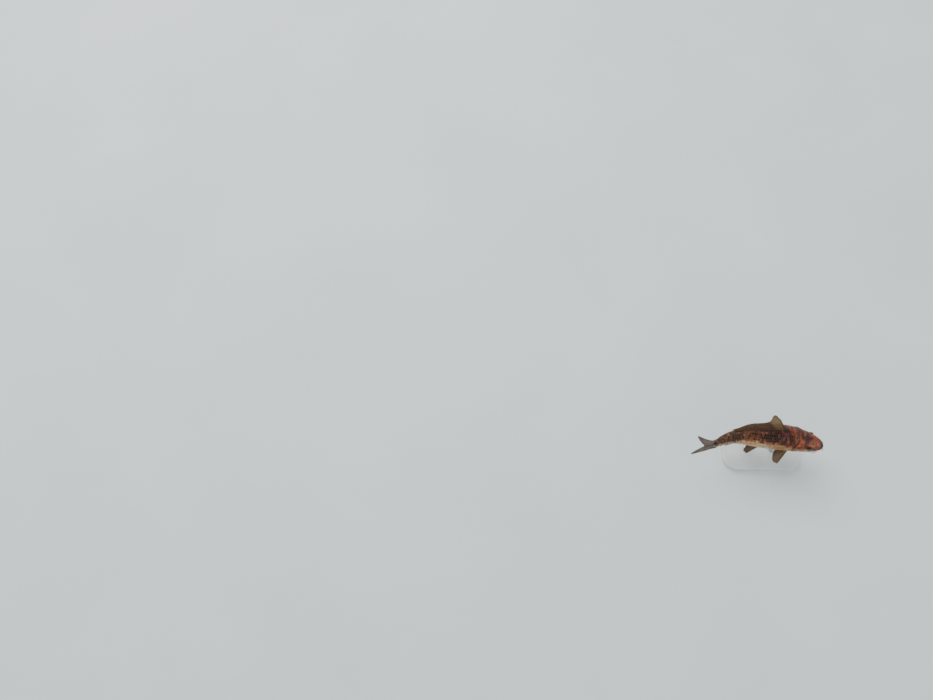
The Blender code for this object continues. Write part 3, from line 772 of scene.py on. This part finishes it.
EYE_FLATNESS, EYE_FULLNESS = 0.89, 0.62  # the glass is lower than a ball, and fuller at its rim
EYE_FINISH = eye_finish()
for (centre, looks), side_name in zip(EYES, ("left", "right")):
    eye = bmesh.new()
    bmesh.ops.create_uvsphere(eye, u_segments=48, v_segments=48, radius=1.0)
    away = eye.verts.layers.float.new("from_pupil")
    turned = Vector((0.0, 0.0, 1.0)).rotation_difference(looks).to_matrix()
    for vert in eye.verts:
        opening = math.acos(max(-1.0, min(1.0, vert.co.z)))
        vert[away] = opening / (math.pi / 2)
        dome = 1.0 + 0.030 * bump(opening, 0.0, 0.40)  # the front bulges over the pupil
        front = EYE_FLATNESS * math.copysign(abs(vert.co.z) ** EYE_FULLNESS, vert.co.z)
        vert.co = centre + turned @ (Vector((vert.co.x, vert.co.y, front)) * EYE_RADIUS * dome)
    finished("eye_glass_" + side_name, eye, EYE_FINISH, replaces=("eye_" + side_name,))

# ---------------------------------------------------------------- the feelers
# Soft tapering feelers: a long pair at the corners of the mouth and a short pair on the upper
# lip. They are cast with the skin, in its orange, and paler towards their tips.
# name, station and angle of the root, route from there in millimetres, radius in millimetres
FEELERS = (
    ("barbel_corner_", 0.046, -36.0, ((-0.4, 1.3, -1.3), (-2.7, 1.8, -4.2), (-6.0, 1.2, -6.3)), 0.45),
    ("barbel_lip_", 0.010, 8.0, ((1.2, 0.8, -0.6), (1.4, 1.8, -2.0), (0.6, 2.6, -3.6)), 0.40),
)
FEELER_ROOT_TONE, FEELER_TIP_TONE = (0.42, 0.14, 0.05), (0.62, 0.36, 0.20)
FEELER_FINISH = painted("varnished feelers", 0.15, (0.30, 0.48), 1800.0, 0.00004)


def along_route(points, share):
    """A point of a smooth curve through the points, by Catmull-Rom pieces."""
    place = share * (len(points) - 1)
    k = min(int(place), len(points) - 2)
    t = place - k
    before, start = points[max(k - 1, 0)], points[k]
    end, after = points[k + 1], points[min(k + 2, len(points) - 1)]
    return 0.5 * (
        2 * start
        + (end - before) * t
        + (2 * before - 5 * start + 4 * end - after) * t * t
        + (3 * start - before - 3 * end + after) * t**3
    )


for kind, station, turn, route, radius in FEELERS:
    for side, side_name in ((1, "left"), (-1, "right")):
        start = skin_point(station, turn if side > 0 else 180.0 - turn, -0.0006)
        points = [start] + [start + Vector((x, side * y, z)) * MM for x, y, z in route]
        feeler = bmesh.new()
        bmesh.ops.create_uvsphere(feeler, u_segments=16, v_segments=40, radius=1.0)
        paint = feeler.verts.layers.float_color.new("paint")
        for vert in feeler.verts:
            share = math.acos(max(-1.0, min(1.0, vert.co.z))) / math.pi
            on = along_route(points, share)
            behind, beyond = max(share - 0.01, 0.0), min(share + 0.01, 1.0)
            ahead = (along_route(points, beyond) - along_route(points, behind)).normalized()
            one = ahead.cross(Vector((0.0, 1.0, 0.0))).normalized()
            two = ahead.cross(one)
            round_end = math.sqrt(max(0.0, 1.0 - eased(share, 0.90, 1.0) ** 2)) if share > 0.9 else 1.0
            thick = radius * MM * (1.25 - 0.72 * share) * round_end * (share > 0.0)
            turn_round = math.atan2(vert.co.y, vert.co.x)
            vert.co = on + (one * math.cos(turn_round) + two * math.sin(turn_round)) * thick
            vert[paint] = (*blended(FEELER_ROOT_TONE, FEELER_TIP_TONE, share), 1.0)
        bmesh.ops.recalc_face_normals(feeler, faces=feeler.faces)
        node = kind + side_name
        finished(node + "_skin", feeler, FEELER_FINISH, replaces=(node,))

# ---------------------------------------------------------------- the fins
# Each fin is a half-clear resin web cast over rays that branch twice towards the free edge.
# The rays are opaque and painted, and the roots are thickened and sunk in the skin.

# tones of a fin: its root, its web near the root, its free edge, its rays
BACK_FIN_TONES = (
    (0.066, 0.024, 0.012), (0.180, 0.094, 0.032), (0.195, 0.115, 0.050), (0.070, 0.035, 0.018),
)
BREAST_FIN_TONES = (
    (0.420, 0.235, 0.092), (0.330, 0.185, 0.080), (0.170, 0.118, 0.078), (0.090, 0.050, 0.028),
)
TAIL_FIN_TONES = (
    (0.090, 0.054, 0.038), (0.200, 0.142, 0.110), (0.190, 0.142, 0.116), (0.085, 0.058, 0.046),
)
FIN_DARK = (0.020, 0.012, 0.010)
WEB_OPACITY = 0.80
RAY_COLUMNS = 16  # columns of a fin's grid to each ray
RAY_JOINTS = 16  # bands along a ray
FIN_ROOT = 0.14  # up to this share of its length a fin is opaque
RAY_SHARE = 0.40  # a face with more of a ridge than this is ray, and with less it is web
RAY_FINISH = painted("painted fin rays", 0.12, (0.34, 0.54), 1500.0, 0.00004)
WEB_FINISH = painted("amber fin web", 0.12, (0.32, 0.52), 1500.0, 0.00003)
WEB_FINISH.node_tree.nodes["Principled BSDF"].inputs["Alpha"].default_value = WEB_OPACITY


def leaning(height, root, lean_start, lean_end, reach):
    """Side and height of a point of a fin that curls sideways as it rises from its root."""
    turn = math.radians(lean_end - lean_start) / reach
    first = math.radians(lean_start)
    side = (math.cos(first) - math.cos(first + turn * height)) / turn
    rise = (math.sin(first + turn * height) - math.sin(first)) / turn
    return side, root + rise


def cast_fin(name, rays, stiff, rows, place, root_thick, tones, replaces, flare=0.10, dusk=0.0):
    """A closed fin with ridged, branching rays; place(u, v) is the middle of its thickness.

    u runs from the first ray to the last, and v from the root to the free edge. The first stiff
    rays don't branch, flare is how far the thick root reaches, and dusk is how far the web behind
    the front rays takes the root's tone.
    """

    def middle(u, v):
        ragged = 0.010 * math.cos(2 * math.pi * rays * u)
        ragged += 0.030 * noise.noise(Vector((u * rays * 0.9, 3.0, 1.0)))
        return place(u, v * (1.0 + ragged * v * v))

    bm = bmesh.new()
    bmesh.ops.create_grid(bm, x_segments=rays * RAY_COLUMNS, y_segments=rows, size=0.5)
    sheet = bm.faces[:]
    grown = bmesh.ops.extrude_face_region(bm, geom=sheet, use_keep_orig=True)
    upper = [v for v in grown["geom"] if isinstance(v, bmesh.types.BMVert)]
    bmesh.ops.translate(bm, vec=(0.0, 0.0, 1.0), verts=upper)
    bmesh.ops.recalc_face_normals(bm, faces=bm.faces)
    paint = bm.verts.layers.float_color.new("paint")
    ridges = {}
    step = 0.002  # how far to either side a direction is read

    @lru_cache(maxsize=None)
    def shape_at(u, v):
        centre = middle(u, v)
        ahead = middle(min(u + step, 1.0), v) - middle(max(u - step, 0.0), v)
        outward = middle(u, min(v + step, 1.0)) - middle(u, max(v - step, 0.0))
        spread = ahead.length / (min(u + step, 1.0) - max(u - step, 0.0)) / rays / MM
        normal = ahead.cross(outward).normalized()
        ray = u * rays - 0.5
        off = abs(ray - round(min(max(ray, 0), rays - 1)))  # from the nearest ray
        if ray > stiff:  # such a ray parts in two, and each half in two again
            later = 0.10 * math.sin(5.3 * round(ray))
            off = abs(off - 0.25 * eased(v, 0.36 + later, 0.56 + later))
            off = abs(off - 0.125 * eased(v, 0.72 + 0.5 * later, 0.84 + 0.5 * later))
        width = 0.17 - 0.06 * v + (0.10 if ray < stiff else 0.0)
        ridge = math.exp(-((off * spread / width) ** 2))
        web = 0.10 - 0.03 * v
        bone = (0.26 - 0.19 * v) * (1.25 if ray < stiff else 1.0)
        thick = web + bone * ridge + (root_thick / 2 / MM - 0.2) * math.exp(-((v / flare) ** 2))
        pleat = 0.10 * v * math.cos(2 * math.pi * ray)  # rays stand to one side of the web
        return centre, normal, thick * MM, pleat * MM, ridge

    for vert in bm.verts:
        u, v, upper_side = round(vert.co.x + 0.5, 5), round(vert.co.y + 0.5, 5), vert.co.z > 0.5
        centre, normal, thick, pleat, ridge = shape_at(u, v)
        vert.co = centre + normal * (pleat + (thick if upper_side else -thick))
        root_tone, web_tone, edge_tone, ray_tone = tones
        tone = blended(web_tone, edge_tone, eased(v, 0.25, 0.95))
        tone = blended(tone, root_tone, dusk * eased(u, 0.10, 0.34))
        tone = blended(tone, ray_tone, 0.80 * ridge)
        tone = blended(tone, root_tone, 1.0 - eased(v, 0.02, 0.36))
        tone = blended(tone, FIN_DARK, 0.75 * (1.0 - eased(u, 0.0, 1.6 / rays)))
        joint = 0.5 + 0.5 * math.cos(2 * math.pi * v * RAY_JOINTS)
        cloud = noise.noise(centre * 240.0)
        streak = noise.noise(Vector((u * rays * 0.42, v * 1.3, 5.0 + rays)))
        tone = blended(tone, FIN_DARK, max(0.0, 0.30 * cloud, 0.85 * streak) + 0.12 * joint * ridge)
        vert[paint] = (*tone, 1.0)
        ridges[vert] = 1.0 if v < FIN_ROOT else ridge
    for face in bm.faces:
        ridge = sum(ridges[v] for v in face.verts) / len(face.verts)
        face.material_index = 0 if ridge > RAY_SHARE else 1
    finished(name, bm, (RAY_FINISH, WEB_FINISH), replaces=(replaces,))


def back_fin_place(u, v):
    """The back fin: a tall front lobe and a long low rear, curled over to the fish's left."""
    first, last, sunk = 0.400, 0.825, 0.0012
    tall, low, fall, shoulder = 0.0195, 0.0097, 0.0014, 0.165
    root_station = first + (last - first) * u
    height = low + (tall - low) / (1.0 + (u / shoulder) ** 4) - fall * u
    height *= 1.0 - 0.25 * math.exp(-((u / 0.03) ** 2))
    height *= 1.0 - 0.50 * eased(u, 0.55, 1.0)
    swept = 0.0142 * height / tall * (0.80 + 0.45 * u)
    top = ring_at(root_station)[4] - sunk
    side, level = leaning((height + sunk) * v, top, 15.0, 51.0, tall)
    return body_point(root_station + swept * max(v, 0.0) ** 1.25 / BODY_LENGTH, side, level)


def belly_fin_place(u, v):
    """The short fin under the tail stem."""
    first, last, sunk, tall, low = 0.742, 0.838, 0.0010, 0.0150, 0.0070
    root_station = first + (last - first) * u
    height = tall + (low - tall) * u**0.8
    swept = (0.0120 - 0.0045 * u) * v
    side, drop = leaning((height + sunk) * v, 0.0, 4.0, 36.0, tall)
    return body_point(root_station + swept / BODY_LENGTH, side, ring_at(root_station)[5] + sunk - drop)


def tail_lobe_place(up):
    """One lobe of the tail fin, above the fork for up = 1 and below it for -1."""
    root_reach = 0.0077 if up > 0 else 0.0069

    def place(u, v):
        share = 0.004 + 0.996 * u
        reach = 0.0150 + 0.0165 * share**1.35
        reach *= 1.0 - 0.10 * max(0.0, (share - 0.86) / 0.14) ** 2
        angle = math.radians(31.0) * share**1.1 * (1.0 - 0.16 * v * share)
        along = reach * v * math.cos(angle)
        height = up * (root_reach * share - 0.0001 + reach * v * math.sin(angle))
        return body_point(1.0 + along / BODY_LENGTH, 0.0, height)

    return place


def paired_fin_place(root, lead, trail, sizes):
    """A fin that fans out from its root, from the way of its first ray to that of its last."""
    lead_length, top_length, trail_length, root_width = sizes
    lead, trail = Vector(lead).normalized(), Vector(trail).normalized()
    normal = lead.cross(trail).normalized()
    root_line = (trail - lead * trail.dot(lead)).normalized() * root_width

    def place(u, v):
        rise = math.sin(math.pi / 2 * min(1.0, u / 0.3))
        fall = max(0.0, (u - 0.3) / 0.7) ** 1.1
        length = lead_length + (top_length - lead_length) * rise + (trail_length - top_length) * fall
        return root + root_line * u + lead.slerp(trail, u) * length * v - normal * 0.10 * length * v * v

    return place


cast_fin("dorsal_fin_rays", 22, 4, 26, back_fin_place, 0.0020, BACK_FIN_TONES, "dorsal_fin", dusk=0.72)
cast_fin("anal_fin_rays", 8, 2, 22, belly_fin_place, 0.0018, BREAST_FIN_TONES, "anal_fin")
for lobe, up in (("upper", 1), ("lower", -1)):
    node = "caudal_fin_" + lobe
    cast_fin(node + "_rays", 10, 0, 34, tail_lobe_place(up), 0.0030, TAIL_FIN_TONES, node, flare=0.16)
# the roots: station, distance off the middle, height over the body's axis
breast, hip = (0.302, 0.0104, -0.0088), (0.538, 0.0050, -0.0136)
# lengths of the first ray, the longest and the last, and width of the root
breast_sizes, hip_sizes = (0.0215, 0.0228, 0.0105, 0.0050), (0.0210, 0.0225, 0.0120, 0.0036)
# node, side, root, ways of the first and the last ray, sizes, rays
PAIRED = (
    ("pectoral_fin_right", -1, breast, (-0.64, -0.74, -0.22), (-0.95, -0.16, -0.22), breast_sizes, 15),
    ("pectoral_fin_left", 1, breast, (-0.66, 0.36, -0.66), (-0.98, 0.10, -0.16), breast_sizes, 15),
    ("pelvic_fin_right", -1, hip, (-0.87, -0.42, -0.28), (-0.98, 0.06, -0.20), hip_sizes, 9),
    ("pelvic_fin_left", 1, hip, (-0.80, 0.26, -0.54), (-0.98, -0.05, -0.22), hip_sizes, 9),
)
for node, side, (station, off_middle, height), lead, trail, sizes, rays in PAIRED:
    root = body_point(station, side * off_middle, height)
    fan = paired_fin_place(root, lead, trail, sizes)
    cast_fin(node + "_rays", rays, 1, 24, fan, 0.0019, BREAST_FIN_TONES, node)

# ---------------------------------------------------------------- the stand
# A low cast base with a satin paint, and two blasted steel rods pressed into it. Each rod
# ends under the belly in a small clear cup that is shaped to the fish.


def satin_finish(name, tone, roughness, grain, depth, metallic=0.0):
    """A finish of one tone, with faint clouds in its tone and gloss."""
    material, tree, shader = new_finish(name)
    cloud = grained(tree, grain / 12, 5.0)
    ramp = tree.nodes.new("ShaderNodeValToRGB")
    for element, at, light in zip(ramp.color_ramp.elements, (0.3, 0.7), (0.95, 1.03)):
        element.position = at
        element.color = (*(min(1.0, c * light) for c in tone), 1.0)
    tree.links.new(cloud, ramp.inputs["Fac"])
    tree.links.new(ramp.outputs["Color"], shader.inputs["Base Color"])
    tree.links.new(ranged(tree, cloud, *roughness), shader.inputs["Roughness"])
    pebbled(tree, shader, grained(tree, grain, 2.0), 0.4, depth)
    shader.inputs["Metallic"].default_value = metallic
    return material


BASE_FINISH = satin_finish("satin white paint", (0.60, 0.62, 0.62), (0.38, 0.52), 900.0, 0.00004)
ROD_FINISH = satin_finish("blasted steel", (0.40, 0.41, 0.42), (0.46, 0.60), 2400.0, 0.00001, 1.0)
CUP_FINISH = satin_finish("clear rubber", (0.66, 0.68, 0.68), (0.25, 0.35), 1200.0, 0.00002)
STAND_FINISHES = (
    ("stand_base", BASE_FINISH), ("stand_rod_front", ROD_FINISH), ("stand_rod_rear", ROD_FINISH),
)
for node, finish in STAND_FINISHES:
    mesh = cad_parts[node].data
    mesh.materials.clear()
    mesh.materials.append(finish)
CUP_FOOT, CUP_RIM, CUP_DEPTH, CUP_GAP = 0.0016, 0.0030, 0.0018, 0.0002
BELLY_RADIUS, CUP_HOLLOW = 0.0145, 0.35  # how far the rim rises with the belly's curve
for node in ("front", "rear"):
    low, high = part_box("stand_rod_" + node)
    centre = Vector(((low.x + high.x) / 2, (low.y + high.y) / 2, high.z))
    cup = bmesh.new()
    bmesh.ops.create_cone(
        cup, cap_ends=True, segments=40, radius1=CUP_FOOT, radius2=CUP_RIM, depth=1.0
    )
    upright = [e for e in cup.edges if abs(e.verts[0].co.z - e.verts[1].co.z) > 0.5]
    bmesh.ops.subdivide_edges(cup, edges=upright, cuts=5)
    for vert in cup.verts:
        share = vert.co.z + 0.5
        flat = Vector((vert.co.x, vert.co.y, 0.0))
        flat *= (CUP_FOOT + (CUP_RIM - CUP_FOOT) * share**2.2) / flat.length
        top = centre.z + CUP_GAP + CUP_HOLLOW * flat.length_squared / BELLY_RADIUS
        level = (centre.z - CUP_DEPTH) * (1 - share) + top * share
        vert.co = Vector((centre.x + flat.x, centre.y + flat.y, level))
    finished("stand_cup_" + node, cup, CUP_FINISH, sharp=40.0)

# ---------------------------------------------------------------- floor and light
# A pale studio floor that sweeps up into a round glowing wall, a broad soft lamp above and
# behind, a weak low one from ahead on the fish's right, and an even pale room.
floor_bm = bmesh.new()
FLAT_REACH, SWEEP, WALL_TOP = 3.0, 2.5, 3.2  # metres
turns = [math.radians(a) for a in range(0, 91, 6)]
rise = [(FLAT_REACH + SWEEP * math.sin(t), SWEEP - SWEEP * math.cos(t)) for t in turns]
profile = ((0.0, 0.0), *rise, (FLAT_REACH + SWEEP, WALL_TOP))
line = [floor_bm.verts.new((reach, 0.0, height)) for reach, height in profile]
edges = [floor_bm.edges.new(pair) for pair in zip(line, line[1:])]
bmesh.ops.spin(
    floor_bm, geom=line + edges, cent=(0, 0, 0), axis=(0, 0, 1), angle=math.tau, steps=96, use_merge=True
)
bmesh.ops.remove_doubles(floor_bm, verts=floor_bm.verts, dist=0.0001)
bmesh.ops.recalc_face_normals(floor_bm, faces=floor_bm.faces)
floor_bm.normal_update()
if min(floor_bm.faces, key=lambda f: f.calc_center_median().length).normal.z < 0.0:
    bmesh.ops.reverse_faces(floor_bm, faces=floor_bm.faces)
floor_mesh = bpy.data.meshes.new("floor")
floor_bm.to_mesh(floor_mesh)
floor_bm.free()
floor_mesh.shade_smooth()
floor_finish = satin_finish("pale floor", (0.650, 0.698, 0.692), (0.75, 0.85), 60.0, 0.0002)
tree = floor_finish.node_tree
shader = tree.nodes["Principled BSDF"]
# the wall glows, and the flat floor doesn't
where, height = tree.nodes.new("ShaderNodeTexCoord"), tree.nodes.new("ShaderNodeSeparateXYZ")
tree.links.new(where.outputs["Object"], height.inputs["Vector"])
glow = ranged(tree, height.outputs["Z"], 0.0, 0.56, 0.0, 0.14)
tree.links.new(glow, shader.inputs["Emission Strength"])
shader.inputs["Emission Color"].default_value = (0.94, 0.98, 1.0, 1.0)
shader.inputs["Specular IOR Level"].default_value = 0.10
floor_finish.cycles.emission_sampling = "NONE"
floor_mesh.materials.append(floor_finish)
floor = bpy.data.objects.new("floor", floor_mesh)
bpy.context.scene.collection.objects.link(floor)


def soft_lamp(name, place, size, power):
    light = bpy.data.lights.new(name, "AREA")
    light.shape, light.size, light.energy = "DISK", size, power
    lamp = bpy.data.objects.new(name, light)
    lamp.location = place
    lamp.rotation_euler = (-Vector(place)).to_track_quat("-Z", "Y").to_euler()
    lamp.visible_camera = False
    bpy.context.scene.collection.objects.link(lamp)


soft_lamp("main lamp", (-0.9, 1.1, 1.7), 2.0, 52.0)
soft_lamp("side lamp", (1.8, -0.9, 0.7), 1.6, 14.0)
room = bpy.data.worlds.new("room")
room.use_nodes = True
room.node_tree.nodes["Background"].inputs["Color"].default_value = (0.92, 0.96, 1.0, 1.0)
room.node_tree.nodes["Background"].inputs["Strength"].default_value = 0.68
bpy.context.scene.world = room
